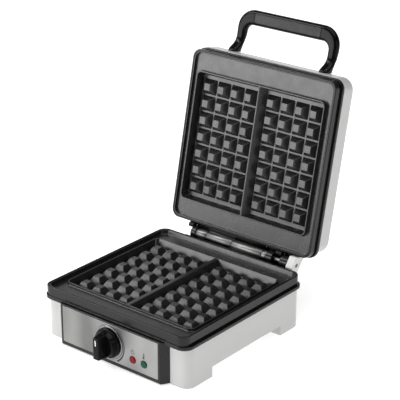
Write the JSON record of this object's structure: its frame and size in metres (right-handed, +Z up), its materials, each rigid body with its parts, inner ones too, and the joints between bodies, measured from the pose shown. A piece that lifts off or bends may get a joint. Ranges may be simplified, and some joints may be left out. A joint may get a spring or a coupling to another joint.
{
  "type": "waffle maker",
  "caption": "Countertop waffle maker with a hinged lid, two-sided non-stick peg plates, a loop handle, a rotary heat dial and two pilot lamps; it bakes two rectangular waffles side by side",
  "frame": {"origin": "on the surface it stands on, midway between the two halves of the lower plate's peg grid, which is the middle of the base in X", "axes": "+X right seen from the control panel, +Y towards the hinge, +Z up; the rest pose has the lid open by 102.35 degrees"},
  "size_m": [0.2514, 0.4112, 0.382],
  "materials": {
    "white_enamel": "moulded, pearl white, smooth",
    "black_gloss": "moulded, semi-gloss",
    "black_satin": "moulded phenolic, satin",
    "grey_grip": "fine-grained, matt",
    "non_stick": "die-cast with a satin dark grey non-stick coat",
    "steel_plate": "brushed along its length",
    "bezel_chrome": "bright",
    "hinge_steel": "satin, tumbled",
    "screw_zinc": "zinc plated",
    "reflector_tin": "bright aluminised sheet",
    "element_sheath": "heat-tinted steel tube",
    "red_lens": "translucent, polished",
    "green_lens": "translucent, polished",
    "white_plastic": "moulded, smooth",
    "thermostat_case": "plated steel case",
    "rubber_black": "matt",
    "lead_sleeve": "silicone insulated"
  },
  "bodies": {
    "base": {"base_shell": "white_enamel", "bottom_cover": "reflector_tin", "cover_screws": "screw_zinc", "rubber_feet": "rubber_black", "base_trim_ring": "black_gloss", "ring_screws": "screw_zinc", "lower_plate": "non_stick", "lower_plate_screws": "screw_zinc", "lower_element": "element_sheath", "lower_reflector": "reflector_tin", "control_frame": "black_gloss", "frame_screws": "screw_zinc", "control_plate": "steel_plate", "knob_bezel": "bezel_chrome", "red_lamp": "red_lens", "green_lamp": "green_lens", "lamp_holders": "white_plastic", "thermostat": "thermostat_case", "terminal_block": "white_plastic", "terminal_screws": "screw_zinc", "internal_leads": "lead_sleeve", "cord_gland": "rubber_black", "hinge_carrier": "black_gloss", "carrier_screws": "screw_zinc", "base_hinge_leaf": "hinge_steel", "base_hinge_screws": "screw_zinc", "hinge_pin": "hinge_steel"},
    "lid": {"lid_shell": "white_enamel", "lid_trim_ring": "black_gloss", "lid_ring_screws": "screw_zinc", "upper_plate": "non_stick", "upper_plate_screws": "screw_zinc", "upper_element": "element_sheath", "upper_reflector": "reflector_tin", "upper_leads": "lead_sleeve", "lid_hinge_leaf": "hinge_steel", "lid_hinge_screws": "screw_zinc", "lid_stop_lugs": "black_satin", "lead_arm": "white_plastic", "handle": "black_satin", "handle_grip_insert": "grey_grip", "handle_screws": "screw_zinc"},
    "dial": {"knob": "black_satin", "knob_pointer": "white_plastic", "thermostat_spindle": "hinge_steel"}
  },
  "joints": [
    {"name": "lid_hinge", "type": "hinge", "parent": "base", "child": "lid", "pos_m": [0, 0.1358, 0.0769], "axis": [-1, 0, 0], "range_deg": [-102.35, 0]},
    {"name": "dial_turn", "type": "hinge", "parent": "base", "child": "dial", "pos_m": [0, -0.14, 0.0328], "axis": [0, 1, 0], "range_deg": [0, 210]}
  ]
}
